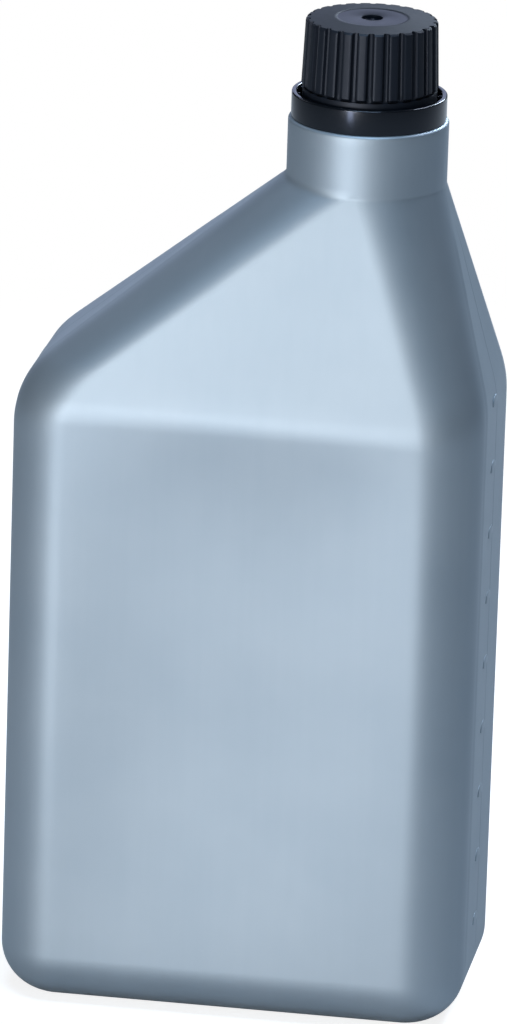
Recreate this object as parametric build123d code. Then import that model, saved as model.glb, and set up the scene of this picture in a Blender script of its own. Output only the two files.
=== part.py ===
from build123d import *
from math import atan2, cos, pi, radians, sqrt, tan
import os

# One-litre oil bottle with an offset neck, a ribbed screw cap and a tamper band.
# Millimetres. The origin is the middle of the base, +Z is up, the broad front faces -Y
# and the neck stands to the +X side.

# Body of the bottle
body_width = 110.0
body_depth = 62.0
corner_radius = 14.2
base_radius = 12.0
wall = 1.1

# Shoulders. The narrow walls' lines meet their slopes at the body's height, the broad walls'
# lines a little lower. Each wall rolls over softly there. The left slope meets the neck a little
# higher than the other three.
body_height = 149.5
front_drop = 4.0
shoulder_height = 48.1
left_rise = 1.1
front_roll = 26.0
left_roll = 22.0
right_roll = 35.0

# Neck, which stands off the middle of the body
neck_x = 22.8
neck_radius = 18.5
neck_height = 15.0
neck_blend = 2.5
neck_edge = 0.8

# Mouth above the neck, hidden by the cap. Its thread is left to the looks.
finish_radius = 12.0
mouth_radius = 10.4
bead_reach = 0.9
bead_height = 1.4
bead_lift = 0.5
lip_edge = 0.5
thread_depth = 1.0

# Hollow of the base that lets the bottle stand on its rim
base_rim = 3.0
base_corner = 7.0
base_rise = 2.4
base_slope = 5.0

# Raised strip on both narrow sides, which carries the parting line and the litre marks
strip_width = 32.0
strip_raise = 0.4
strip_end_width = 4.0
strip_roll = 12.0
strip_fade = 12.0
strip_foot = 1.2
strip_foot_radius = 16.0

# Litre marks: short bars on the right-hand strip, one for each tenth of a litre
mark_count = 9
mark_first = 20.6
mark_step = 15.87
mark_length = 7.0
mark_height = 1.1
mark_raise = 0.45

# Tamper band, a shallow channel that stays on the bottle
band_radius = 17.9
band_height = 5.9
band_wall = 1.2
band_floor = 1.2
band_play = 0.3
bridge_count = 16
bridge_width = 1.2
bridge_height = 1.3
bridge_drop = 0.5
bridge_start = 11.0
parted_gap = 0.15

# Cap, which stands clear of the bead, of the band's wall and of the band's top
cap_height = 20.1
cap_lift_play = 0.4
cap_draft = 2.2
rib_lift = 1.1
rib_foot_radius = 15.8
rib_count = 26
rib_depth = 1.1
rib_start = 8.0
rib_share = 0.5
foot_ring_play = 1.2
deck = 1.6
thread_play = 0.2
crown_edge = 0.9
recess_radius = 8.2
recess_depth = 0.35
dimple_radius = 2.5
dimple_depth = 0.9

# Sealing wad inside the cap
wad_thickness = 1.2
wad_play = 0.3

# Where the shoulder's last section meets the round neck, it keeps a small flat on each side and
# stays a little inside the neck. Each litre mark reaches into the wall behind it.
round_flat = 0.2
neck_step = 0.4
mark_sink = 0.8

# How many sections shape the rolls and the neck's foot
roll_steps = 14
foot_steps = 6

half_width = body_width / 2
half_depth = body_depth / 2
front_crease = body_height - front_drop
neck_base = body_height + shoulder_height
left_top = neck_base + left_rise
neck_top = neck_base + neck_height
left_run = neck_x - neck_radius + neck_step + half_width
right_run = half_width - neck_x - neck_radius + neck_step
front_run = half_depth - neck_radius + neck_step
band_top = neck_top + band_height
band_bore = band_radius - band_wall
bead_low = neck_top + band_floor + bead_lift
cap_foot = bead_low + bead_height + cap_lift_play
cap_top = cap_foot + cap_height
finish_top = cap_top - deck - wad_thickness
cap_bore = finish_radius + thread_depth + thread_play
rib_foot = band_top + rib_lift
foot_ring_radius = band_bore - foot_ring_play


def lean(z, crease, run, top, roll):
    """How far a wall has leaned in at height z: upright, rolling over, straight, turning up the neck."""
    angle = atan2(run, top - crease)
    roll_reach = roll * tan(angle / 2)
    blend_reach = neck_blend * tan(angle / 2)
    roll_end = crease + roll_reach * cos(angle)
    blend_start = top - blend_reach * cos(angle)
    if z <= crease - roll_reach:
        return 0.0
    if z < roll_end:
        rise = z - (crease - roll_reach)
        return roll - sqrt(roll**2 - rise**2)
    if z < blend_start:
        return (z - crease) * tan(angle)
    if z < top + blend_reach:
        drop = top + blend_reach - z
        return run - neck_blend + sqrt(neck_blend**2 - drop**2)
    return run


def left_side(z):
    """X of the left wall at height z."""
    return -half_width + lean(z, body_height, left_run, left_top, left_roll)


def right_side(z):
    """X of the right wall at height z."""
    return half_width - lean(z, body_height, right_run, neck_base, right_roll)


def half_depth_at(z):
    """Half of the depth at height z."""
    return half_depth - lean(z, front_crease, front_run, neck_base, front_roll)


def corner_at(z):
    """Corner radius at height z. It grows until the section is the round neck."""
    flat = half_depth - corner_radius
    return half_depth_at(z) - flat + lean(z, front_crease, flat - round_flat, neck_base, front_roll)


def section(z, inset=0.0):
    """Rounded rectangle of the body at height z, or of its hollow when there is an inset."""
    left = left_side(z) + inset
    right = right_side(z) - inset
    depth = 2 * (half_depth_at(z) - inset)
    corner = corner_at(z) - inset
    return Pos((left + right) / 2, 0, z) * RectangleRounded(right - left, depth, corner)


def inner_section(z):
    """Section of the hollow at height z."""
    return section(z, wall)


def roll_span(crease, run, top, roll):
    """Heights where a wall's roll begins and ends."""
    angle = atan2(run, top - crease)
    reach = roll * tan(angle / 2)
    return crease - reach, crease + reach * cos(angle)


def shoulder_rolls():
    """Lowest and highest height of the rolls of the four walls."""
    left = roll_span(body_height, left_run, left_top, left_roll)
    right = roll_span(body_height, right_run, neck_base, right_roll)
    front = roll_span(front_crease, front_run, neck_base, front_roll)
    return min(left[0], right[0], front[0]), max(left[1], right[1], front[1])


def foot_span(crease, run, top):
    """Heights where a slope begins and ends its turn up the neck."""
    angle = atan2(run, top - crease)
    reach = neck_blend * tan(angle / 2)
    return top - reach * cos(angle), top + reach


def shoulder_foot():
    """Lowest and highest height of the foot where the slopes turn up into the neck."""
    left = foot_span(body_height, left_run, left_top)
    right = foot_span(body_height, right_run, neck_base)
    front = foot_span(front_crease, front_run, neck_base)
    return min(left[0], right[0], front[0]), max(left[1], right[1], front[1])


def neck_start():
    """Height where the round neck begins. The left slope still runs on into it."""
    return foot_span(body_height, right_run, neck_base)[1]


def heights(span, steps):
    """Evenly spaced heights over a span, both ends included."""
    low, high = span
    return [low + (high - low) * k / steps for k in range(steps + 1)]


def shoulder(outline):
    """Shoulder through one family of outlines: smooth rolls, straight slopes and a smooth foot."""
    roll = [outline(z) for z in heights(shoulder_rolls(), roll_steps)]
    foot = [outline(z) for z in heights(shoulder_foot(), foot_steps)]
    return loft(roll) + loft([roll[-1], foot[0]], ruled=True) + loft(foot)


def strip_half(z):
    """Half of the strip's width at height z. It narrows up the slopes."""
    loss = (strip_width - strip_end_width) / 2
    return strip_width / 2 - lean(z, front_crease, loss, neck_base, strip_roll)


def strip_section(z):
    """Plate that reaches from the left strip's face to the right strip's face at height z."""
    share = (shoulder_foot()[0] - z) / strip_fade
    proud = strip_raise * min(1.0, 2 * share - 1)
    left = left_side(z) - proud
    right = right_side(z) + proud
    return Pos((left + right) / 2, 0, z) * Rectangle(right - left, 2 * strip_half(z))


def strip_shoulder():
    """The strips up the shoulders. They sink into the slopes just below the neck."""
    top = shoulder_foot()[0]
    roll = [strip_section(z) for z in heights(shoulder_rolls(), roll_steps)]
    slope = [roll[-1], strip_section(top - strip_fade), strip_section(top)]
    return loft(roll) + loft(slope, ruled=True)


def upright_body(inset=0.0):
    """Upright lower part of the body, with rounded lower edges."""
    height = shoulder_rolls()[0] - inset
    block = extrude(Pos(0, 0, inset) * section_plan(inset), height)
    return fillet(block.faces().sort_by(Axis.Z)[0].edges(), base_radius - inset)


def section_plan(inset=0.0):
    """Full section of the body in plan."""
    return RectangleRounded(body_width - 2 * inset, body_depth - 2 * inset, corner_radius - inset)


def base_hollow(lift=0.0, spread=0.0):
    """Shallow hollow under the base, or the floor over it when lifted and spread by the wall."""
    border = base_radius + base_rim - spread
    corner = base_corner + spread
    low = RectangleRounded(body_width - 2 * border, body_depth - 2 * border, corner)
    border += base_slope
    corner -= base_slope
    high = RectangleRounded(body_width - 2 * border, body_depth - 2 * border, corner)
    return loft([Pos(0, 0, lift) * low, Pos(0, 0, lift + base_rise) * high], ruled=True)


def upright_strip():
    """The two strips beside the upright walls, as one plate through the body.

    Its ends bend in more widely than the body's lower edges, so that it sinks into them.
    """
    outline = Pos(0, 0, -strip_raise) * Rectangle(body_width + 2 * strip_raise, strip_width)
    plate = extrude(outline, shoulder_rolls()[0] + strip_raise)
    low_edges = plate.faces().sort_by(Axis.Z)[0].edges().filter_by(Axis.Y)
    plate = fillet(low_edges, strip_foot_radius)
    return split(plate, Plane.XY.offset(strip_foot), keep=Keep.TOP)


def litre_marks():
    """Short bars on the right-hand strip, from the parting line towards the front."""
    bars = []
    for k in range(mark_count):
        z = mark_first + k * mark_step
        face = right_side(z) + strip_raise
        bar = Box(mark_sink + mark_raise, mark_length, mark_height)
        bars.append(Pos(face + (mark_raise - mark_sink) / 2, -mark_length / 2, z) * bar)
    return bars


def neck_outside():
    """Round neck and the threaded mouth above it, turned about the neck's axis."""
    start = neck_start()
    with BuildSketch(Plane.XZ) as profile:
        with BuildLine():
            Polyline(
                (0, start),
                (neck_radius, start),
                (neck_radius, neck_top - neck_edge),
            )
            neck_arc_end = (neck_radius - neck_edge, neck_top)
            RadiusArc((neck_radius, neck_top - neck_edge), neck_arc_end, -neck_edge)
            Polyline(
                neck_arc_end,
                (finish_radius, neck_top),
                (finish_radius, bead_low),
                (finish_radius + bead_reach, bead_low),
                (finish_radius + bead_reach, bead_low + bead_height / 3),
                (finish_radius, bead_low + bead_height),
                (finish_radius, finish_top - lip_edge),
            )
            lip_arc_end = (finish_radius - lip_edge, finish_top)
            RadiusArc((finish_radius, finish_top - lip_edge), lip_arc_end, -lip_edge)
            Polyline(lip_arc_end, (0, finish_top), (0, start))
        make_face()
    return Pos(neck_x, 0, 0) * revolve(profile.sketch, Axis.Z)


def neck_inside():
    """Hollow of the neck and the open mouth."""
    start = neck_start()
    end = finish_top + wall
    with BuildSketch(Plane.XZ) as profile:
        with BuildLine():
            Polyline(
                (0, start),
                (neck_radius - wall, start),
                (neck_radius - wall, neck_top - neck_edge - wall),
                (neck_radius - wall - neck_edge, neck_top - wall),
                (mouth_radius, neck_top - wall),
                (mouth_radius, end),
                (0, end),
                (0, start),
            )
        make_face()
    return Pos(neck_x, 0, 0) * revolve(profile.sketch, Axis.Z)


def bottle():
    """Blow-moulded bottle: one shell with its neck, strips, litre marks and hollow base."""
    outside = upright_body() + shoulder(section)
    outside += upright_strip() + strip_shoulder()
    outside += neck_outside()
    outside -= base_hollow()
    for bar in litre_marks():
        outside += bar
    hollow = upright_body(wall) + shoulder(inner_section)
    hollow += neck_inside()
    hollow -= base_hollow(lift=wall, spread=wall)
    return outside - hollow


def tamper_band():
    """Channel round the cap's foot, with the stubs of the bridges that parted from the cap."""
    inner = finish_radius + band_play
    with BuildSketch(Plane.XZ) as profile:
        with BuildLine():
            Polyline(
                (inner, neck_top),
                (band_radius, neck_top),
                (band_radius, band_top),
                (band_bore, band_top),
                (band_bore, neck_top + band_floor),
                (inner, neck_top + band_floor),
                (inner, neck_top),
            )
        make_face()
    band = revolve(profile.sketch, Axis.Z)
    stub_start = foot_ring_radius + parted_gap
    stub_end = band_bore + band_wall / 2
    stub = Box(stub_end - stub_start, bridge_width, bridge_height)
    stub = Pos((stub_start + stub_end) / 2, 0, band_top - bridge_drop - bridge_height / 2) * stub
    for k in range(bridge_count):
        band += Rot(0, 0, bridge_start + k * 360 / bridge_count) * stub
    return Pos(neck_x, 0, 0) * band


def ribbed_skirt():
    """Drafted cone with upright ribs, whose outer faces lean in by the same draft.

    The ribs reach past the crown and are cut off by its envelope.
    """
    height = cap_top - rib_foot
    root_foot = rib_foot_radius - rib_depth
    root_top = root_foot - height * tan(radians(cap_draft))
    skirt = Pos(0, 0, rib_foot + height / 2) * Cone(root_foot, root_top, height)
    width = 2 * pi * rib_foot_radius / rib_count * rib_share
    rib = Box(2 * rib_depth, width, height + crown_edge, align=(Align.MAX, Align.CENTER, Align.MIN))
    rib = Pos(rib_foot_radius, 0, rib_foot) * Rot(0, -cap_draft, 0) * rib
    for k in range(rib_count):
        skirt += Rot(0, 0, rib_start + k * 360 / rib_count) * rib
    return skirt


def crown_envelope():
    """Space that bevels the crown's edge at 45 degrees and leaves the ribs below it alone."""
    crown_radius = rib_foot_radius - (cap_top - rib_foot) * tan(radians(cap_draft))
    bevel_reach = rib_foot_radius - crown_radius + crown_edge
    with BuildSketch(Plane.XZ) as envelope:
        with BuildLine():
            Polyline(
                (0, rib_foot),
                (crown_radius - crown_edge + bevel_reach, rib_foot),
                (crown_radius - crown_edge + bevel_reach, cap_top - bevel_reach),
                (crown_radius - crown_edge, cap_top),
                (0, cap_top),
                (0, rib_foot),
            )
        make_face()
    return revolve(envelope.sketch, Axis.Z)


def cap():
    """Screw cap: a drafted skirt with ribs, a smooth foot ring, a deck with a recess and a dimple."""
    skirt = ribbed_skirt() & crown_envelope()
    foot = Pos(0, 0, cap_foot) * extrude(Circle(foot_ring_radius), rib_foot - cap_foot)
    bore = Pos(0, 0, cap_foot) * extrude(Circle(cap_bore), cap_top - deck - cap_foot)
    recess = Pos(0, 0, cap_top - recess_depth) * extrude(Circle(recess_radius), recess_depth)
    dimple_height = dimple_depth / 2
    dimple_z = cap_top - recess_depth - dimple_height
    dimple = Pos(0, 0, dimple_z) * Cone(dimple_radius / 2, dimple_radius, dimple_depth)
    shell = skirt + foot - bore - recess - dimple
    return Pos(neck_x, 0, 0) * shell


def cap_liner():
    """Sealing wad, pressed flat between the deck of the cap and the mouth."""
    disc = extrude(Circle(cap_bore - wad_play), wad_thickness)
    return Pos(neck_x, 0, finish_top) * disc


os.makedirs("parts", exist_ok=True)
export_step(bottle(), "parts/bottle.step")
export_step(tamper_band(), "parts/tamper_band.step")
export_step(cap(), "parts/cap.step")
export_step(cap_liner(), "parts/cap_liner.step")
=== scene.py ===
# %% [markdown]
# # A one-litre oil bottle, dressed for its portrait
#
# The bottle is blown from polyethylene that carries a silver pigment. A ribbed black cap closes
# it, and a tamper band stays behind on its neck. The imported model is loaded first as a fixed
# frame: every new piece is worked out at the same place and size, and rides on one of its bodies.

# %% Load the frame
from math import atan2, cos, pi, radians, sin, tan

import bpy
import numpy as np
from mathutils import Matrix, Vector


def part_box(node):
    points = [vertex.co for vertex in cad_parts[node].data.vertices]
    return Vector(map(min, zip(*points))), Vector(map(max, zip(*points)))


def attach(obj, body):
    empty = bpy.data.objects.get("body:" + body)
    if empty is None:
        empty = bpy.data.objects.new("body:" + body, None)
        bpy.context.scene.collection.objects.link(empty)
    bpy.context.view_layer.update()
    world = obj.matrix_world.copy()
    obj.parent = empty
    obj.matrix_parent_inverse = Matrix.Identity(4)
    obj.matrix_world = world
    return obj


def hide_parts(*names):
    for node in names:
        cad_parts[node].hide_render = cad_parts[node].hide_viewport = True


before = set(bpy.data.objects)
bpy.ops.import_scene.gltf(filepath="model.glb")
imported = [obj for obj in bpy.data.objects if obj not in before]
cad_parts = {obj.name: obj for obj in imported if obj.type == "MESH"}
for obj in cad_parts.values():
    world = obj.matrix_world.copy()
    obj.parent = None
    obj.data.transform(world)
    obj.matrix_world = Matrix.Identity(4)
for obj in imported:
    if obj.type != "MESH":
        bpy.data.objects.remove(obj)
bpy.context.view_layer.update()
MM = 0.001

# %% [markdown]
# ## Sizes
#
# All lengths below are millimetres. What the frame already knows is measured from its nodes, so
# that the new pieces stay where the solids are. The rest are the bottle maker's own values:
# where the walls crease, how softly they roll over and how thick the plastic is.

# %% Sizes that the frame gives


def span(node):
    """Lowest and highest corner of a node in millimetres."""
    low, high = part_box(node)
    return np.array(low) / MM, np.array(high) / MM


bottle_low, bottle_high = span("bottle")
cap_low, cap_high = span("cap")
band_low, band_high = span("tamper_band")
neck_x = (band_low[0] + band_high[0]) / 2
neck_top = band_low[2]
finish_top = bottle_high[2]
print("neck axis x", round(neck_x, 2), "neck top", round(neck_top, 2))
print("mouth", round(finish_top, 2), "cap", round(cap_low[2], 2), "to", round(cap_high[2], 2))

# %% Sizes of the bottle
wall = 1.1
strip_height = 0.4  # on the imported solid
strip_raise = 0.2  # on the skin, where the strip is shallower
half_width = -bottle_low[0] - strip_height
half_depth = 31.0
corner_radius = 14.2
base_radius = 12.0
left_crease, right_crease, front_crease = 149.5, 149.5, 145.5
left_roll, right_roll, front_roll = 22.0, 35.0, 26.0
neck_radius = 18.5
neck_base, left_top = 197.6, 198.7
neck_blend = 2.5
round_flat = 0.2  # half of the flat that each side keeps where the neck is round
left_run = neck_x - neck_radius + half_width
right_run = half_width - neck_x - neck_radius
front_run = half_depth - neck_radius
print("body", 2 * half_width, "x", 2 * half_depth, "mm")

# %% [markdown]
# ## Surfaces from grids of points
#
# Each piece is a grid: rows run along a profile, columns run around. Neighbouring rings are
# joined with four-sided faces, and a single point closes a ring at a pole. Built this way the
# mesh lines follow the creases of the form, which keeps its highlights clean.

# %% Make a mesh from a grid


def piece_from_rows(
    name, rows, start_pole=None, end_pole=None, closed_rows=False, crease_angle=32
):
    """Closed surface over rows[i, j] in millimetres. The columns run round and meet again."""
    count, across = rows.shape[:2]
    index = np.arange(count * across).reshape(count, across)
    low = index if closed_rows else index[:-1]
    high = np.roll(index, -1, axis=0) if closed_rows else index[1:]
    faces = np.stack([low, np.roll(low, -1, 1), np.roll(high, -1, 1), high], axis=-1)
    faces = faces.reshape(-1, 4).tolist()
    points = rows.reshape(-1, 3).tolist()
    if start_pole is not None:
        first = index[0]
        pole = np.full(across, len(points))
        points.append(list(start_pole))
        faces += np.stack([pole, np.roll(first, -1), first], axis=-1).tolist()
    if end_pole is not None:
        last = index[-1]
        pole = np.full(across, len(points))
        points.append(list(end_pole))
        faces += np.stack([last, np.roll(last, -1), pole], axis=-1).tolist()
    mesh = bpy.data.meshes.new(name)
    mesh.from_pydata((np.array(points) * MM).tolist(), [], faces)
    mesh.polygons.foreach_set("use_smooth", np.ones(len(faces), bool))
    mesh.set_sharp_from_angle(angle=radians(crease_angle))
    mesh.update()
    piece = bpy.data.objects.new(name, mesh)
    bpy.context.scene.collection.objects.link(piece)
    print(name, len(points), "points,", len(faces), "faces")
    return piece


# %% [markdown]
# The cap, its band and the threads are round, so their profiles are carried round the neck's
# axis. Small rounded edges in a profile are arcs of a few points.

# %% Profiles and how they turn


def turned(profile, angles, reach=None):
    """Rows for a profile of (radius, height) pairs carried round the neck's axis.

    A point is (x0 + r cos a, r sin a, z). reach(r, z, a) may change the radius along the turn.
    """
    profile = np.asarray(profile, float)
    radius, height = profile[:, :1], profile[:, 1:]
    turn = np.asarray(angles)[None, :]
    if reach is not None:
        radius = reach(radius, height, turn)
    radius = radius + 0 * turn
    x = neck_x + radius * np.cos(turn)
    return np.stack([x, radius * np.sin(turn), height + 0 * turn], -1)


def arc_points(centre, radius, start, end, steps):
    """Points (radius, height) on an arc of a profile, from one angle in degrees to another."""
    angle = np.radians(np.linspace(start, end, steps + 1))
    return np.stack([centre[0] + radius * np.cos(angle), centre[1] + radius * np.sin(angle)], -1)


def run(low, high, steps):
    """Evenly spaced values from low to high, without the last one."""
    return np.linspace(low, high, steps, endpoint=False)


print("a quarter circle:", arc_points((0, 0), 1.0, 0, 90, 2).round(2).tolist())

# %% [markdown]
# ## The bottle's skin
#
# At every height the bottle is a rounded rectangle. Up the shoulders its walls lean in: each
# rolls over its crease in an arc, runs straight, and turns up again at the neck, while the
# corners grow until nothing but a circle is left. The left wall leans most, because the neck
# stands off the middle. That one family of outlines gives the flat facets and the long cones
# between them. A box could be pulled into this shape by hand and subdivided, but rings that
# follow from a few sizes keep every crease where the mould has it.

# %% How far a wall leans in


def lean(z, crease, run_in, roll, top=neck_base):
    """Distance a wall has leaned in at height z: none, an arc of the roll's radius, a straight
    slope of tan(angle), and an arc of the neck's blend radius that ends upright."""
    angle = atan2(run_in, top - crease)
    roll_reach = roll * tan(angle / 2)
    blend_reach = neck_blend * tan(angle / 2)
    rise = np.clip(z - crease + roll_reach, 0, roll * sin(angle))
    drop = np.clip(top + blend_reach - z, 0, neck_blend * sin(angle))
    rolled = roll - np.sqrt(roll**2 - rise**2)
    sloped = (z - crease) * tan(angle)
    turned_up = run_in - neck_blend + np.sqrt(neck_blend**2 - drop**2)
    in_roll = z < crease + roll_reach * cos(angle)
    in_slope = z < top - blend_reach * cos(angle)
    return np.where(in_roll, rolled, np.where(in_slope, sloped, turned_up))


some_heights = np.array([140.0, 160, 180, 200])
left_lean = lean(some_heights, left_crease, left_run, left_roll, left_top)
print("at", some_heights, "the left wall leans in by", left_lean.round(2))

# %% [markdown]
# Both narrow sides carry a raised strip, where the two halves of the mould meet. Its border is
# crisp, so the grid gets columns of its own there: a few across the strip, one down its edge,
# then the corner's arc and the broad wall. A fine ridge, the parting line, runs up its middle.

# %% Columns of the strip
strip_width = 32.0
strip_end_width = 4.0
strip_roll = 12.0
strip_edge = 1.0
seam_height = 0.07
seam_half = 0.35
seam_columns = np.array([0, 0.5, 1, 2.2])
strip_columns = np.array([0.25, 0.4, 0.6, 0.8, 0.95, 1])
arc_columns = 20
flat_columns = 26


def strip_half(z):
    """Half of the strip's width at height z: it narrows up the shoulder as a wall leans."""
    taper = (strip_width - strip_end_width) / 2
    return strip_width / 2 - lean(z, front_crease, taper, strip_roll)


def arc_fall(y, flat, corner):
    """How far a side falls back at y: 0 on the flat, corner - sqrt(corner^2 - (y - flat)^2) on
    the corner's arc. On the round neck the flat has no width left and the strip bends with it."""
    over = np.clip(y - flat, 0, corner)
    return corner - np.sqrt(corner**2 - over**2)


print("the strip's half width at", some_heights, "is", strip_half(some_heights).round(1))

# %% One quarter of an outline


def quarter(half_x, half_y, corner, strip, proud):
    """A quarter outline from the middle of a narrow side to the middle of a broad one.

    Strip: x = half_x + proud + seam (1 - y/seam_half), less the arc's fall. Then y runs to the
    corner, whose arc is (half_x - corner + corner cos a, half_y - corner + corner sin a), and
    x runs back to 0.
    """
    values = (half_x, half_y, corner, strip, proud)
    half_x, half_y, corner, strip, proud = (v[:, None] for v in values)
    flat = half_y - corner
    seam_y = seam_columns * seam_half + 0 * strip
    strip_y = np.concatenate([seam_y, strip * strip_columns], axis=1)
    seam = seam_height * np.clip(proud / strip_raise, 0, 1)
    seam = seam * np.clip(1 - strip_y / seam_half, 0, 1)
    strip_x = half_x + proud + seam - arc_fall(strip_y, flat, corner)
    foot_y = strip + strip_edge
    arc_start_y = np.maximum(flat, foot_y + strip_edge)
    side_y = np.concatenate([foot_y, (foot_y + arc_start_y) / 2], axis=1)
    side_x = half_x - arc_fall(side_y, flat, corner)
    start = np.arcsin(np.clip((arc_start_y - flat) / corner, 0, 1))
    angle = start + (pi / 2 - start) * np.linspace(0, 1, arc_columns + 1)
    arc_x = half_x - corner + corner * np.cos(angle)
    arc_y = flat + corner * np.sin(angle)
    flat_x = (half_x - corner) * np.linspace(1, 0, flat_columns + 1)[1:]
    x = np.concatenate([strip_x, side_x, arc_x, flat_x], axis=1)
    y = np.concatenate([strip_y, side_y, arc_y, half_y + 0 * flat_x], axis=1)
    return x, y


def outline(left, right, half_y, corner, strip, proud):
    """Whole outline, from the middle of the right side round by the back, mirrored twice."""
    x, y = quarter((right - left) / 2, half_y, corner, strip, proud)
    middle = ((left + right) / 2)[:, None]
    back_x = np.concatenate([middle + x, (middle - x)[:, -2::-1]], axis=1)
    back_y = np.concatenate([y, y[:, -2::-1]], axis=1)
    round_x = np.concatenate([back_x, back_x[:, -2:0:-1]], axis=1)
    round_y = np.concatenate([back_y, -back_y[:, -2:0:-1]], axis=1)
    return round_x, round_y


# %% [markdown]
# A blown wall isn't quite flat. As it cools it draws in between its stiff edges, so the broad
# walls and the two facets above them are a little hollow: up to 2.2 mm in the walls, which are
# deepest at 82 mm, and a quarter of a millimetre in the facets. The silver pigment shows it, as
# the light slides over the wall.

# %% Walls that draw in
wall_sink = 2.2
wall_sink_low, wall_sink_peak, wall_sink_high = 6.0, 82.0, 146.3
wall_sink_tilt = 1.6
facet_sink = 0.25
facet_sink_low, facet_sink_high = 150.0, 197.0
broad_power, facet_power, upper_power, lower_power = 2.5, 2.5, 4.0, 2.0


def hollow(share, power):
    """A bowl that is 1 at share 0 and runs out softly at share -1 and 1: (1 - |s|^p)^1.5. The
    higher the power, the flatter its floor."""
    return np.clip(1 - np.abs(share) ** power, 0, 1) ** 1.5


def drawn_in(x, z, half_flat, middle):
    """How far the broad walls have drawn in at a point, over the wall and over the facet. The
    wall's upper end tilts by wall_sink_tilt from side to side, as the crease above it does."""
    across = (x - middle) / np.maximum(half_flat, 1.0)
    tilt = wall_sink_tilt * np.clip(across, -1, 1)
    above = (z - wall_sink_peak) / (wall_sink_high - tilt - wall_sink_peak)
    below = (z - wall_sink_peak) / (wall_sink_peak - wall_sink_low)
    up = np.where(z > wall_sink_peak, hollow(above, upper_power), hollow(below, lower_power))
    facet_middle = (facet_sink_low + facet_sink_high) / 2
    facet_up = hollow((z - facet_middle) / (facet_sink_high - facet_middle), facet_power)
    return hollow(across, broad_power) * (wall_sink * up + facet_sink * facet_up)


print("half way to a wall's edge the bowl is", round(float(hollow(0.5, broad_power)), 2), "deep")

# %% [markdown]
# A ring of the skin is one such outline at its height. The walls' hollow is taken off where the
# ring runs along a broad side, and it runs out over the first quarter of each corner.

# %% Rings of the skin
least_corner = 1.5
sink_into_corner = 0.25
broad_from = 0.5


def skin_rings(z, tuck, inset=0.0, strip_share=None):
    """Rings at the heights z. tuck pulls the whole outline in, as the rounded lower edge does,
    and inset sets the hollow of the bottle in by its wall."""
    pull = tuck + inset
    left = -half_width + lean(z, left_crease, left_run, left_roll, left_top) + pull
    right = half_width - lean(z, right_crease, right_run, right_roll) - pull
    deep = half_depth - lean(z, front_crease, front_run, front_roll)
    flat = half_depth - corner_radius
    corner = deep - flat + lean(z, front_crease, flat - round_flat, front_roll) - pull
    corner = np.maximum(corner, least_corner)
    strip = np.maximum(strip_half(z), strip_end_width / 2)
    proud = np.zeros_like(z) if strip_share is None else strip_raise * strip_share
    x, y = outline(left, right, deep - pull, corner, strip, proud)
    middle = ((left + right) / 2)[:, None]
    half_flat = ((right - left) / 2 - corner)[:, None]
    sink = drawn_in(x, z[:, None], half_flat + corner[:, None] * sink_into_corner, middle)
    y = y - np.sign(y) * sink * (np.abs(y) > (deep - pull - corner * broad_from)[:, None])
    return np.stack([x, y, z[:, None] + 0 * x], axis=-1)


sample_ring = skin_rings(np.array([100.0]), np.zeros(1))
print("a ring at 100 mm has", sample_ring.shape[1], "points")

# %% [markdown]
# The skin is one closed surface. It starts under the base, whose middle is pushed up so that the
# bottle stands on a rim, climbs the outside, turns over the lip of the mouth and goes down the
# inside to the floor. With the cap off, the hollow is really there.

# %% Under the base
base_border = base_radius + 3.0
base_slope = 5.0
base_rise = 2.4
middle_shares = np.linspace(0.04, 1, 10)[:, None, None]
slope_shares = np.linspace(0, 1, 7)[1:, None, None]


def base_rings(lift, border):
    """Rings under the base, or on the floor inside: a level middle, and a slope down to the rim
    that starts and ends level too, 3 s^2 - 2 s^3."""
    crown = skin_rings(np.full(1, lift + base_rise), np.full(1, border + base_slope))
    slope = skin_rings(np.full(1, lift), np.full(1, border))
    centre = np.array([0, 0, lift + base_rise])
    level = centre + (crown - centre) * middle_shares
    ease = 3 * slope_shares**2 - 2 * slope_shares**3
    ramp = crown + (slope - crown) * slope_shares
    ramp[..., 2] = crown[..., 2] + (slope[..., 2] - crown[..., 2]) * ease[..., 0]
    return np.concatenate([level, ramp]), centre


def edge_rings(inset=0.0):
    """Rings round the lower edge, a quarter circle from the rim to the wall."""
    radius = base_radius - inset
    angle = np.radians(np.linspace(0, 90, 17))
    z = inset + radius * (1 - np.cos(angle))
    tuck = radius * (1 - np.sin(angle))
    return skin_rings(z, tuck, inset)


base_out, base_centre = base_rings(0.0, base_border)
edge_out = edge_rings()
print("rings under the base", len(base_out), "and round its edge", len(edge_out))

# %% [markdown]
# Up the wall the rings stand closest where the form bends: over the creases and at the foot of
# the neck. The strip ends before the wall does, so a rule of its own says how much of it is left.

# %% Up the wall
neck_edge = 0.8
strip_top = neck_base - 2
strip_fade = 12.0
strip_foot_radius = 16.0
stretches = [
    (base_radius, 17, 10),
    (17, 132, 32),
    (132, 139, 5),
    (139, 157, 36),
    (157, 196, 26),
    (196, 202, 24),
    (202, neck_top - neck_edge, 5),
]
heights = np.concatenate([run(*stretch) for stretch in stretches])[1:]


def strip_share_at(z):
    """How much of the strip's height is left. It fades out below the neck, and at the bottom it
    bends in on a wider arc than the wall and sinks into it."""
    drop = np.clip(strip_foot_radius - strip_height - z, 0, strip_foot_radius)
    bend = strip_foot_radius - np.sqrt(strip_foot_radius**2 - drop**2)
    fade = 2 * (strip_top - z) / strip_fade - 1
    return np.clip(np.minimum(1 - bend / strip_height, fade), 0, 1)


outside = skin_rings(heights, 0 * heights, strip_share=strip_share_at(heights))
neck_ring = outside[-1]
print("rings up the wall", len(outside))

# %% [markdown]
# The neck ends in a flat deck with a rounded edge. On it stands the mouth, with a bead that holds
# the tamper band down. All of these are copies of the neck's last ring, each drawn in to its own
# radius.

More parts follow.
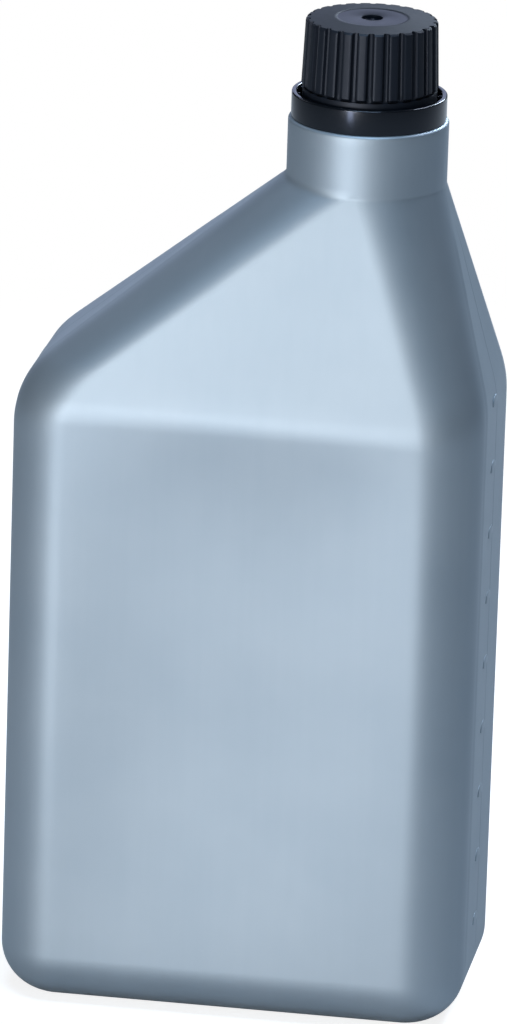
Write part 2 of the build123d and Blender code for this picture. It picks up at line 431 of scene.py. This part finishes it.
# %% Neck and mouth
finish_radius, mouth_radius = 12.0, 10.4
bead_radius, bead_foot = 12.9, 214.3
lip_edge, lip_edge_in = 0.5, 0.4
neck_turn = arc_points((neck_radius - neck_edge, neck_top - neck_edge), neck_edge, 0, 90, 5)
deck_rows = [(finish_radius + 1, neck_top), (finish_radius, neck_top)]
bead = [
    (finish_radius, bead_foot),
    (bead_radius, bead_foot),
    (bead_radius, bead_foot + 0.5),
    (finish_radius, bead_foot + 1.4),
]
lip_out = arc_points((finish_radius - lip_edge, finish_top - lip_edge), lip_edge, 0, 90, 4)
lip_in = arc_points(
    (mouth_radius + lip_edge_in, finish_top - lip_edge_in), lip_edge_in, 90, 180, 3
)
mouth_z = np.linspace(finish_top - 1, neck_top - wall, 14)
mouth_down = np.stack([np.full_like(mouth_z, mouth_radius), mouth_z], -1)
roof = [
    (mouth_radius + 0.01, neck_top - wall),
    (neck_radius - wall - neck_edge, neck_top - wall),
]


def about_neck(ring, profile):
    """Copies of a neck ring, drawn in to each radius of the profile and set at its height."""
    profile = np.asarray(profile)
    centre = np.array([neck_x, 0, 0])
    flat = (ring - centre) * np.array([1, 1, 0])
    scale = (profile[:, 0] / neck_radius)[:, None, None]
    height = profile[:, 1][:, None, None] * np.array([0, 0, 1])
    return centre + flat * scale + height


mouth_profile = np.concatenate([neck_turn, deck_rows, bead, lip_out, lip_in, mouth_down, roof])
print("rings of the neck and mouth", len(mouth_profile))

# %% [markdown]
# The inside follows the outside, one wall's thickness in, and its rows run the other way: down
# from the mouth to the floor.

# %% Rows of the inside and the finished skin
floor_in, floor_centre = base_rings(wall, base_border - wall)
inner_heights = heights[::-2]
inner_heights = inner_heights[inner_heights < neck_top - wall - neck_edge]
inside = skin_rings(inner_heights, 0 * inner_heights, wall)
skin_rows = np.concatenate(
    [
        base_out,
        edge_out,
        outside,
        about_neck(neck_ring, mouth_profile),
        inside,
        edge_rings(wall)[::-2],
        floor_in[::-1],
    ]
)
bottle_skin = piece_from_rows(
    "bottle_skin", skin_rows, base_centre, floor_centre, crease_angle=28
)
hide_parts("bottle")
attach(bottle_skin, "bottle")

# %% [markdown]
# ## The screw thread
#
# A thread is a small profile carried along a helix. It starts and ends by sinking into the wall,
# so that the cap finds its way on. The one on the mouth stands outwards, the one in the cap
# inwards. The second lies in the gap of the first, close under its turns, as in a cap that has
# been screwed home. A Screw modifier could wind them, but their ends wouldn't sink in, so each
# helix is worked out as one grid.

# %% Thread helix
thread_pitch = 4.2
thread_depth = 1.0
thread_width = 2.0
thread_root = 0.25
thread_run_out = 40.0
thread_steps = 90
thread_half = [(-thread_root, 0.5), (0.55, 0.36), (0.95, 0.2)]


def thread(name, radius, depth, low, turns, start_angle):
    """Tube of a trapezoid section along a helix: (r + depth h) round, pitch a turn upwards.

    The height of the profile above its wall swells from next to nothing over the first and last
    thread_run_out degrees, so that both ends run out.
    """
    t = np.linspace(0, 1, int(turns * thread_steps) + 1)
    turn = start_angle + 2 * pi * turns * t
    swell = np.clip(np.minimum(t, 1 - t) * turns * (360 / thread_run_out), 0.02, 1)
    swell = np.sin(swell * pi / 2)
    profile = np.array(thread_half + [(1.0, 0.0)] + [(out, -up) for out, up in thread_half[::-1]])
    if depth > 0:
        profile = profile[::-1]
    reach = radius + depth * profile[None, :, 0] * swell[:, None]
    reach = np.where(profile[None, :, 0] < 0, radius - thread_root * np.sign(depth), reach)
    height = low + thread_pitch * turns * t[:, None] + thread_width * profile[None, :, 1]
    x = neck_x + reach * np.cos(turn)[:, None]
    rows = np.stack([x, reach * np.sin(turn)[:, None], height], -1)
    return piece_from_rows(name, rows, rows[0].mean(0), rows[-1].mean(0), crease_angle=50)


mouth_thread = thread("mouth_thread", finish_radius, thread_depth, 218.6, 2.2, radians(-140))
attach(mouth_thread, "bottle")

# %% [markdown]
# ## Litre marks
#
# Nine short bars on the strip, a tenth of a litre apart. They run from the parting line towards
# the front. Each rises gently from above and drops off sharply below, as a groove that was cut
# into the mould by hand leaves it, so it shows as a small dark tick. One short formula, a
# superellipsoid, gives such a bar without any cutting.

# %% Litre marks
mark_first = 20.6
mark_step = 15.87
mark_count = 9
mark_length = 7.0
mark_rise, mark_drop = 1.9, 0.4
mark_raise = 0.3
mark_rows, mark_columns = 12, 14


def litre_mark(z):
    """Rows of one mark: a superellipsoid, long in y, with its middle on the strip's face. Above
    that middle it is mark_rise high, below it mark_drop."""
    side_lean = lean(np.array([z]), right_crease, right_run, right_roll)[0]
    face = half_width + strip_raise - float(side_lean)
    along = np.linspace(-1, 1, mark_rows + 2)[1:-1]
    turn = np.linspace(0, 2 * pi, mark_columns, endpoint=False)
    girth = (1 - np.abs(along) ** 3) ** 0.5
    x = face + mark_raise * girth[:, None] * np.cos(turn)
    y = -mark_length / 2 - mark_length / 2 * along[:, None] + 0 * turn
    reach = np.where(np.sin(turn) > 0, mark_rise, mark_drop) * np.sin(turn)
    height = z + girth[:, None] * reach
    return np.stack([x, y, height], -1), (face, 0, z), (face, -mark_length, z)


def joined(name, pieces):
    """One object from several, which are removed."""
    with bpy.context.temp_override(active_object=pieces[0], selected_editable_objects=pieces):
        bpy.ops.object.join()
    pieces[0].name = name
    return pieces[0]


marks = []
for k in range(mark_count):
    rows, near, far = litre_mark(mark_first + k * mark_step)
    marks.append(piece_from_rows(f"mark_{k}", rows, near, far, crease_angle=60))
litre_marks = joined("litre_marks", marks)
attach(litre_marks, "bottle")

# %% [markdown]
# ## The cap
#
# An injection-moulded cap tapers a little, so that it lets go of its mould. Twenty-six ribs give
# the fingers a hold. The crown falls off towards its rim as a flat cone, which cuts the ribs off
# and leaves a row of teeth there. At the foot they stop above a smooth ring. Grooves could be
# cut one by one, but a wave in the cap's radius makes them all at once, with clean flanks.

# %% Sizes of the cap
cap_foot, cap_top = cap_low[2], cap_high[2]
cap_draft = radians(2.2)
cap_bore = 13.2
rib_count = 26
rib_depth = 1.1
rib_start = radians(8.0)
rib_foot = band_high[2] + 1.1
rib_foot_radius = 15.8
rib_run_out = 0.8
rib_steepness, rib_fullness = 8.0, 0.45
rib_columns = 14
foot_ring_radius = 15.5
crown_fall = 0.45
crown_rim = 14.75
deck = 1.6
recess_radius = 8.2
recess_border = recess_radius + 0.4
recess_depth = 0.12
print("cap", round(cap_top - cap_foot, 2), "mm high with", rib_count, "ribs")

# %% [markdown]
# Round the cap the ribs are a wave with steep flanks. One function gives the radius at each
# point: the drafted skirt less its grooves, cut off by a bevel and by the crown's cone. The grid
# follows the ribs, with the same few columns on each.

# %% Ribbed outside


def rib_wave(turn):
    """Height of the ribs round the cap, 0 in a groove and 1 on a rib, with steep flanks."""
    phase = np.cos(rib_count * (turn - rib_start))
    return 1 / (1 + np.exp(-rib_steepness * (phase + rib_fullness)))


def cap_reach(radius, height, turn):
    """Radius of the ribbed skirt: the draft takes tan(draft) a millimetre and the groove its
    depth. A bevel of 45 degrees and the crown's flat cone cut everything off at the top."""
    skirt = radius - (height - rib_foot) * tan(cap_draft)
    rise = np.clip((height - rib_foot) / rib_run_out, 0, 1)
    grooved = skirt - rib_depth * (1 - rib_wave(turn) * rise)
    fall = (crown_rim - recess_border) / crown_fall
    cone = recess_border + (cap_top - height) * fall
    bevel = crown_rim + cap_top - crown_fall - height
    return np.minimum(grooved, np.minimum(bevel, cone))


rib_turns = np.linspace(0, 2 * pi, rib_count * rib_columns, endpoint=False) + rib_start
skirt_top = cap_top - 2.2
rim_top = cap_top - crown_fall
skirt_heights = np.concatenate(
    [
        run(rib_foot, rib_foot + rib_run_out, 4),
        run(rib_foot + rib_run_out, skirt_top, 16),
        run(skirt_top, rim_top - 0.4, 3),
        run(rim_top - 0.4, rim_top + 0.2, 15),
        np.linspace(rim_top + 0.2, cap_top - 0.02, 4),
    ]
)
skirt_profile = [(rib_foot_radius, z) for z in skirt_heights]
skirt_rows = turned(skirt_profile, rib_turns, cap_reach)
print("rings up the skirt", len(skirt_rows), "of", len(rib_turns), "points")

# %% [markdown]
# The rest of the cap is round: the smooth ring at its foot, the shallow recess in its crown with
# the gate's dimple, where a nib of plastic is left, and the bore and deck inside.

# %% Foot, crown and inside
foot_edge = 0.3
foot_profile = np.concatenate(
    [
        [(cap_bore + foot_edge, cap_foot), (foot_ring_radius - foot_edge, cap_foot)],
        arc_points((foot_ring_radius - foot_edge, cap_foot + foot_edge), foot_edge, -60, 0, 3),
        [(foot_ring_radius, rib_foot - 0.5), (foot_ring_radius - 0.1, rib_foot)],
    ]
)
dimple_radius, dimple_depth = 2.5, 0.9
nib_radius, nib_height = 0.6, 0.5
recess_floor = cap_top - recess_depth
dimple_floor = recess_floor - dimple_depth
top_profile = [
    (recess_border, cap_top),
    (recess_radius, cap_top - 0.06),
    (recess_radius - 0.2, recess_floor),
    (recess_radius - 0.5, recess_floor),
    (dimple_radius + 0.5, recess_floor),
    (dimple_radius, recess_floor - 0.08),
    (dimple_radius - 0.25, dimple_floor + 0.1),
    (dimple_radius - 0.5, dimple_floor),
    (nib_radius, dimple_floor),
    (nib_radius - 0.25, dimple_floor + nib_height - 0.05),
]
bore_edge = 0.4
inner_profile = [
    (0.5, cap_top - deck),
    (cap_bore - bore_edge, cap_top - deck),
    (cap_bore, cap_top - deck - bore_edge),
    (cap_bore, cap_foot + 0.5),
]
print("recess", recess_depth, "mm deep, dimple", dimple_depth, "mm more")

# %% Finished cap
cap_rows = np.concatenate(
    [
        turned(inner_profile, rib_turns),
        turned(foot_profile, rib_turns),
        skirt_rows,
        turned(top_profile, rib_turns),
    ]
)
cap_roof = (neck_x, 0, cap_top - deck)
cap_tip = (neck_x, 0, dimple_floor + nib_height)
cap_shell = piece_from_rows("cap_shell", cap_rows, cap_roof, cap_tip, crease_angle=30)
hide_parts("cap")
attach(cap_shell, "cap")
cap_thread = thread("cap_thread", cap_bore, -thread_depth, 219.4, 2.6, radians(60))
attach(cap_thread, "cap")

# %% [markdown]
# ## The tamper band
#
# The band was moulded with the cap and hung on it by thin bridges. Once the bottle has been
# opened it lies on the neck as a shallow channel, with the stubs of its bridges pointing inwards.
# The channel is one closed profile turned round the neck, and the stubs are joined to it.

# %% Tamper band
band_radius = (band_high[0] - band_low[0]) / 2
band_bore = finish_radius + 0.3
band_top = band_high[2]
band_wall = 1.2
band_floor = neck_top + 1.2
band_edge = 0.3
band_columns = 240
channel_radius = band_radius - band_wall
band_turns = np.linspace(0, 2 * pi, band_columns, endpoint=False)
band_profile = np.concatenate(
    [
        [(band_bore, neck_top), (band_radius - 0.4, neck_top)],
        arc_points((band_radius - band_edge, neck_top + band_edge), band_edge, -70, 0, 4),
        [(band_radius, band_top - band_edge)],
        arc_points((band_radius - band_edge, band_top - band_edge), band_edge, 10, 90, 4),
        arc_points((channel_radius + band_edge, band_top - band_edge), band_edge, 90, 180, 4),
        [(channel_radius, band_floor + band_edge), (channel_radius - band_edge, band_floor)],
        [(band_bore, band_floor)],
    ]
)
band_rows = turned(band_profile, band_turns)
band_ring = piece_from_rows("band_ring", band_rows, closed_rows=True, crease_angle=40)

# %% [markdown]
# A bridge tore off close to the cap. What is left is a short bar with a soft-cornered section,
# which thins towards its broken end.

# %% Stubs of the bridges
bridge_count = 16
bridge_start = radians(11.0)
bridge_gap = 0.15
bridge_drop = 1.15
bridge_half_width, bridge_half_height = 0.6, 0.65
bridge_thinning = np.array([1.0, 1.0, 0.95, 0.6])[:, None]


def rounded(wave):
    """A sine or cosine pushed outwards, sign(w) |w|^0.6, which squares a circle's section."""
    return np.sign(wave) * np.abs(wave) ** 0.6


def bridge(k):
    """One stub: a short rounded bar from the band's wall inwards."""
    turn = bridge_start + k * 2 * pi / bridge_count
    around = np.linspace(0, 2 * pi, 10, endpoint=False)
    reach = np.linspace(band_radius - band_wall / 2, foot_ring_radius + bridge_gap, 4)
    side = bridge_half_width * bridge_thinning * rounded(np.cos(around))
    z = band_top - bridge_drop + bridge_half_height * bridge_thinning * rounded(np.sin(around))
    x = neck_x + reach[:, None] * cos(turn) - side * sin(turn)
    y = reach[:, None] * sin(turn) + side * cos(turn)
    rows = np.stack([x, y, z], -1)[::-1]
    ends = (rows[0].mean(0), rows[-1].mean(0))
    return piece_from_rows(f"bridge_{k}", rows, *ends, crease_angle=60)


tamper_ring = joined("tamper_ring", [band_ring] + [bridge(k) for k in range(bridge_count)])
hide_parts("tamper_band")
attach(tamper_ring, "bottle")

# %% [markdown]
# ## Materials
#
# A maker names colours as they look on a screen, in sRGB, while the renderer works with linear
# light, so one function turns the one into the other. Another adds a node with its settings and
# its links, which keeps every material down to a few readable lines.

# %% Colour and node helpers


def linear(hex_colour):
    """sRGB hex to linear RGBA: c/12.92 below 0.04045, else ((c + 0.055)/1.055)^2.4."""
    value = np.array([int(hex_colour[i : i + 2], 16) for i in (1, 3, 5)]) / 255
    light = np.where(value <= 0.04045, value / 12.92, ((value + 0.055) / 1.055) ** 2.4)
    return (*light.tolist(), 1.0)


def add(tree, kind, inputs=None, links=None, **settings):
    """Add a node: settings go on it, inputs on its sockets, and links join sockets to it."""
    made = tree.nodes.new(kind)
    for name, value in settings.items():
        setattr(made, name, value)
    for name, value in (inputs or {}).items():
        made.inputs[name].default_value = value
    for name, source in (links or {}).items():
        tree.links.new(source, made.inputs[name])
    return made


def new_material(name):
    """An empty node material with its output, and its tree."""
    made = bpy.data.materials.new(name)
    made.use_nodes = True
    made.node_tree.nodes.clear()
    return made, made.node_tree, made.node_tree.nodes.new("ShaderNodeOutputMaterial")


print("a screen's middle grey #808080 is", round(linear("#808080")[0], 3), "of white's light")

# %% [markdown]
# ### Silver-pigmented polyethylene
#
# The bottle's plastic is filled with fine flakes of aluminium. The flakes lie along the wall, so
# the plastic answers light a little like brushed metal: bright where the wall faces the lamp and
# quickly dark where it turns away. Over them lies the satin skin that a sand-blasted mould
# leaves, with a grain of a quarter to half a millimetre, and faint streaks run up the wall, the
# way the hot tube of plastic was drawn.

# %% Bottle plastic
cloud_size, streak_size, grain_size = 28 * MM, 2.2 * MM, 0.5 * MM


def blown_polyethylene():
    """Silver-blue polyethylene: flake layer, satin grain and faint upright streaks."""
    made, tree, output = new_material("blown_silver_polyethylene")
    place = add(tree, "ShaderNodeTexCoord").outputs["Object"]
    cloud = add(
        tree, "ShaderNodeTexNoise", {"Scale": 1 / cloud_size, "Detail": 3.0}, {"Vector": place}
    )
    stretch = add(tree, "ShaderNodeMapping", {"Scale": (1.0, 1.0, 0.04)}, {"Vector": place})
    streak = add(
        tree,
        "ShaderNodeTexNoise",
        {"Scale": 1 / streak_size, "Detail": 2.0},
        {"Vector": stretch.outputs[0]},
    )
    grain = add(
        tree, "ShaderNodeTexNoise", {"Scale": 1 / grain_size, "Detail": 2.0}, {"Vector": place}
    )
    mixed = add(
        tree,
        "ShaderNodeMath",
        {1: 0.2},
        {0: streak.outputs["Fac"], 2: cloud.outputs["Fac"]},
        operation="MULTIPLY_ADD",
    )
    tint = add(tree, "ShaderNodeValToRGB", None, {"Fac": mixed.outputs[0]})
    for stop, position, colour in ((0, 0.35, "#9AA8B4"), (1, 0.9, "#A3B0BB")):
        tint.color_ramp.elements[stop].position = position
        tint.color_ramp.elements[stop].color = linear(colour)
    soft = add(
        tree,
        "ShaderNodeMapRange",
        {"To Min": 0.54, "To Max": 0.57},
        {"Value": cloud.outputs["Fac"]},
    )
    bump = add(
        tree,
        "ShaderNodeBump",
        {"Strength": 0.12, "Distance": 0.05 * MM},
        {"Height": grain.outputs["Fac"]},
    )
    wave = add(
        tree,
        "ShaderNodeBump",
        {"Strength": 0.2, "Distance": 0.3 * MM},
        {"Height": cloud.outputs["Fac"], "Normal": bump.outputs[0]},
    )
    shader = add(
        tree,
        "ShaderNodeBsdfPrincipled",
        {"Metallic": 0.8, "IOR": 1.5},
        {"Base Color": tint.outputs[0], "Roughness": soft.outputs[0], "Normal": wave.outputs[0]},
    )
    tree.links.new(shader.outputs[0], output.inputs["Surface"])
    return made


silver = blown_polyethylene()
print(silver.name, "has", len(silver.node_tree.nodes), "nodes")

# %% [markdown]
# ### Black polypropylene
#
# The cap and its band are injection-moulded from black polypropylene. The mould is blasted where
# fingers grip, which leaves a fine mottle, and polished inside a circle: the disc in the middle
# of the crown shines. The band is polished all over.

# %% Cap plastic
mottle_size = 1.2 * MM
mottle_spread = 0.04
polish_border = 0.1
polish_share = 0.6


def moulded_polypropylene(name, colour, roughness, polished_within, mirror):
    """Black polypropylene: fine mottle, and smoother inside a circle round the neck's axis."""
    made, tree, output = new_material(name)
    place = add(tree, "ShaderNodeTexCoord").outputs["Object"]
    mottle = add(
        tree, "ShaderNodeTexNoise", {"Scale": 1 / mottle_size, "Detail": 4.0}, {"Vector": place}
    )
    from_axis = add(
        tree,
        "ShaderNodeVectorMath",
        {1: (-neck_x * MM, 0, 0)},
        {0: place},
        operation="ADD",
    )
    flat = add(
        tree,
        "ShaderNodeVectorMath",
        {1: (1, 1, 0)},
        {0: from_axis.outputs[0]},
        operation="MULTIPLY",
    )
    radius = add(
        tree, "ShaderNodeVectorMath", None, {0: flat.outputs[0]}, operation="LENGTH"
    )
    outer = add(
        tree,
        "ShaderNodeMapRange",
        {
            "From Min": (polished_within - polish_border) * MM,
            "From Max": polished_within * MM,
            "To Min": polish_share,
        },
        {"Value": radius.outputs["Value"]},
    )
    grain = add(
        tree,
        "ShaderNodeMapRange",
        {"To Min": roughness - mottle_spread, "To Max": roughness + mottle_spread},
        {"Value": mottle.outputs["Fac"]},
    )
    soft = add(
        tree,
        "ShaderNodeMath",
        None,
        {0: grain.outputs[0], 1: outer.outputs[0]},
        operation="MULTIPLY",
    )
    bump = add(
        tree,
        "ShaderNodeBump",
        {"Strength": 0.06, "Distance": 0.03 * MM},
        {"Height": mottle.outputs["Fac"]},
    )
    shader = add(
        tree,
        "ShaderNodeBsdfPrincipled",
        {
            "Base Color": linear(colour),
            "IOR": 1.49,
            "Specular IOR Level": mirror,
            "Specular Tint": linear("#DCE6FA"),
        },
        {"Roughness": soft.outputs[0], "Normal": bump.outputs[0]},
    )
    tree.links.new(shader.outputs[0], output.inputs["Surface"])
    return made


black = moulded_polypropylene(
    "moulded_black_polypropylene", "#0E131B", 0.5, recess_radius, 0.36
)
shiny = moulded_polypropylene(
    "polished_black_polypropylene", "#0D1014", 0.16, recess_radius, 0.5
)
print(black.name, "and", shiny.name, "have", len(black.node_tree.nodes), "nodes each")

# %% [markdown]
# ### Foamed polyethylene
#
# The wad in the cap is a disc of closed-cell foam. Its cells are a third of a millimetre wide and
# give it a dull, finely pitted face.

# %% Wad foam
cell_size = 0.35 * MM


def foamed_polyethylene():
    """Off-white closed-cell foam with fine pits."""
    made, tree, output = new_material("foamed_polyethylene")
    place = add(tree, "ShaderNodeTexCoord").outputs["Object"]
    cells = add(tree, "ShaderNodeTexVoronoi", {"Scale": 1 / cell_size}, {"Vector": place})
    bump = add(
        tree,
        "ShaderNodeBump",
        {"Strength": 0.3, "Distance": 0.05 * MM},
        {"Height": cells.outputs["Distance"]},
    )
    shader = add(
        tree,
        "ShaderNodeBsdfPrincipled",
        {"Base Color": linear("#E6E4DC"), "Roughness": 0.75, "IOR": 1.5},
        {"Normal": bump.outputs[0]},
    )
    tree.links.new(shader.outputs[0], output.inputs["Surface"])
    return made


foam = foamed_polyethylene()
print(foam.name, "has", len(foam.node_tree.nodes), "nodes")

# %% [markdown]
# Each piece wears one plastic all over, so its mesh needs a single material slot.

# %% Put the materials on
plastics = [
    (silver, (bottle_skin, mouth_thread, litre_marks)),
    (black, (cap_shell, cap_thread)),
    (shiny, (tamper_ring,)),
    (foam, (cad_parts["cap_liner"],)),
]
for plastic, pieces in plastics:
    for piece in pieces:
        piece.data.materials.clear()
        piece.data.materials.append(plastic)
    print(plastic.name, "on", [piece.name for piece in pieces])

# %% [markdown]
# ## Studio
#
# The bottle stands on a pale floor in front of white. The floor throws a grey light back up, and
# the white that the camera sees behind the bottle adds none. The rest of the room stays dim,
# which is what gives the silver plastic its dark edges.

# %% Floor and surroundings
floor_radius = 4.0
fade_start, fade_end = 0.15, 0.6
floor_lift = 0.8
white = linear("#FFFFFF")


def pale_floor():
    """Round floor: a grey bounce for light, topped up to white for the camera, fading to pure
    white away from the bottle so that no edge shows."""
    bpy.ops.mesh.primitive_circle_add(
        vertices=96, radius=floor_radius, fill_type="NGON", location=(0, 0, 0)
    )
    made = bpy.context.active_object
    made.name = "floor"
    paint, tree, output = new_material("pale_floor")
    place = add(tree, "ShaderNodeTexCoord").outputs["Object"]
    distance = add(tree, "ShaderNodeVectorMath", None, {0: place}, operation="LENGTH")
    far = add(
        tree,
        "ShaderNodeMapRange",
        {"From Min": fade_start, "From Max": fade_end},
        {"Value": distance.outputs["Value"]},
        interpolation_type="SMOOTHSTEP",
    )
    path = add(tree, "ShaderNodeLightPath")
    seen = add(
        tree,
        "ShaderNodeMath",
        None,
        {0: far.outputs[0], 1: path.outputs["Is Camera Ray"]},
        operation="MULTIPLY",
    )
    matt = add(tree, "ShaderNodeBsdfDiffuse", {"Color": linear("#B5B5B5")})
    shown = add(
        tree,
        "ShaderNodeMath",
        {1: floor_lift},
        {0: path.outputs["Is Camera Ray"]},
        operation="MULTIPLY",
    )
    lift = add(tree, "ShaderNodeEmission", {"Color": white}, {"Strength": shown.outputs[0]})
    both = add(tree, "ShaderNodeAddShader", None, {0: matt.outputs[0], 1: lift.outputs[0]})
    blank = add(tree, "ShaderNodeEmission", {"Color": white, "Strength": 1.0})
    mixed = add(
        tree,
        "ShaderNodeMixShader",
        None,
        {0: seen.outputs[0], 1: both.outputs[0], 2: blank.outputs[0]},
    )
    tree.links.new(mixed.outputs[0], output.inputs["Surface"])
    made.data.materials.append(paint)


def white_surroundings(fill):
    """World that the camera sees as white and that lights the bottle with a dim grey."""
    world = bpy.data.worlds.new("surroundings")
    bpy.context.scene.world = world
    world.use_nodes = True
    tree = world.node_tree
    tree.nodes.clear()
    path = add(tree, "ShaderNodeLightPath")
    dim = add(tree, "ShaderNodeBackground", {"Color": linear("#C9D2DC"), "Strength": fill})
    bright = add(tree, "ShaderNodeBackground", {"Color": white, "Strength": 1.0})
    both = add(
        tree,
        "ShaderNodeMixShader",
        None,
        {0: path.outputs["Is Camera Ray"], 1: dim.outputs[0], 2: bright.outputs[0]},
    )
    add(tree, "ShaderNodeOutputWorld", None, {"Surface": both.outputs[0]})
    print("the room gives", fill, "of white's light")


pale_floor()
white_surroundings(0.03)

# %% [markdown]
# ### Camera
#
# The camera stands two metres off, a little to the right of the front and above it, with a long
# lens that keeps the bottle's sides nearly parallel. The lens follows from the scale of the
# picture, and the aim is turned so that one point of the bottle falls where it should.

# %% Camera
camera_yaw, camera_pitch, camera_roll = radians(8.98), radians(17.26), radians(-1.84)
focal_pixels = 8854.0
pixels_per_mm = 4.29
picture_size = (507, 1024)
anchor = Vector((0, 0, 120.0)) * MM
anchor_pixel = (258.55, 493.85)


def place_camera():
    """Camera that looks along the photo's line: yaw and pitch give its back vector, roll turns
    the picture, and the aim is moved so that the anchor falls on its pixel without any shift."""
    level = cos(camera_pitch)
    back = Vector((sin(camera_yaw) * level, -cos(camera_yaw) * level, sin(camera_pitch)))
    right = Vector((cos(camera_yaw), sin(camera_yaw), 0))
    up = back.cross(right)
    rolled_right = right * cos(camera_roll) - up * sin(camera_roll)
    rolled_up = right * sin(camera_roll) + up * cos(camera_roll)
    distance = focal_pixels / pixels_per_mm * MM
    eye = anchor + back * distance
    off_x = (picture_size[0] / 2 - anchor_pixel[0]) / focal_pixels
    off_y = (anchor_pixel[1] - picture_size[1] / 2) / focal_pixels
    aim = anchor + (rolled_right * off_x + rolled_up * off_y) * distance
    away = (eye - aim).normalized()
    side = (rolled_right - away * rolled_right.dot(away)).normalized()
    top = away.cross(side)
    data = bpy.data.cameras.new("camera")
    data.lens = focal_pixels / picture_size[1] * data.sensor_width
    data.clip_start = 0.1
    made = bpy.data.objects.new("camera", data)
    bpy.context.scene.collection.objects.link(made)
    turn = Matrix((side, top, away)).transposed().to_4x4()
    made.matrix_world = Matrix.Translation(eye) @ turn
    bpy.context.scene.camera = made
    return made


camera = place_camera()
print("lens", round(camera.data.lens, 1), "mm at", round(camera.location.length, 3), "m")

# %% [markdown]
# ### Lamps
#
# The main softbox stands low, left of the camera, and makes the bright walls. A narrow one in
# front of it draws the streak on the tamper band. One overhead and two behind on the right light
# the slopes, the cap's top and the narrow side. Three dim ones behind give the crown, the
# shoulder and the left side their sheen.

# %% Lamps
lamp_aim = Vector((0, 0, 0.12))


def softbox(name, azimuth, elevation, distance, size, watts, colour):
    """Rectangular lamp aimed at the bottle's middle, from azimuth degrees right of the front."""
    a, e = radians(azimuth), radians(elevation)
    away = Vector((sin(a) * cos(e), -cos(a) * cos(e), sin(e)))
    data = bpy.data.lights.new(name, "AREA")
    data.shape = "RECTANGLE"
    data.size, data.size_y = size
    data.energy = watts
    data.color = linear(colour)[:3]
    made = bpy.data.objects.new(name, data)
    made.visible_camera = False
    bpy.context.scene.collection.objects.link(made)
    made.location = lamp_aim + away * distance
    made.rotation_euler = away.to_track_quat("Z", "Y").to_euler()
    print(name, watts, "W")


softbox("key_softbox", -16, 3.5, 1.5, (0.5, 0.34), 13.7, "#FFFBF5")
softbox("low_softbox", -17, -1, 0.8, (0.11, 0.2), 0.6, "#DCE6FF")
softbox("top_softbox", 2, 70, 1.5, (0.7, 0.4), 14.2, "#CAE6FF")
softbox("back_softbox", 165, 30, 1.5, (0.35, 0.35), 13.3, "#E0F0FF")
softbox("high_softbox", 140, 50, 1.5, (0.35, 0.35), 9.4, "#E8F0FF")
softbox("crown_softbox", 189, 17, 1.5, (0.5, 0.3), 0.6, "#CCD8FF")
softbox("shoulder_softbox", 206, 4, 1.5, (0.4, 0.2), 0.65, "#D2DAF8")
softbox("left_softbox", -130, 35, 1.5, (0.4, 0.4), 0.7, "#F0F2FF")
bpy.context.scene.view_settings.view_transform = "Standard"
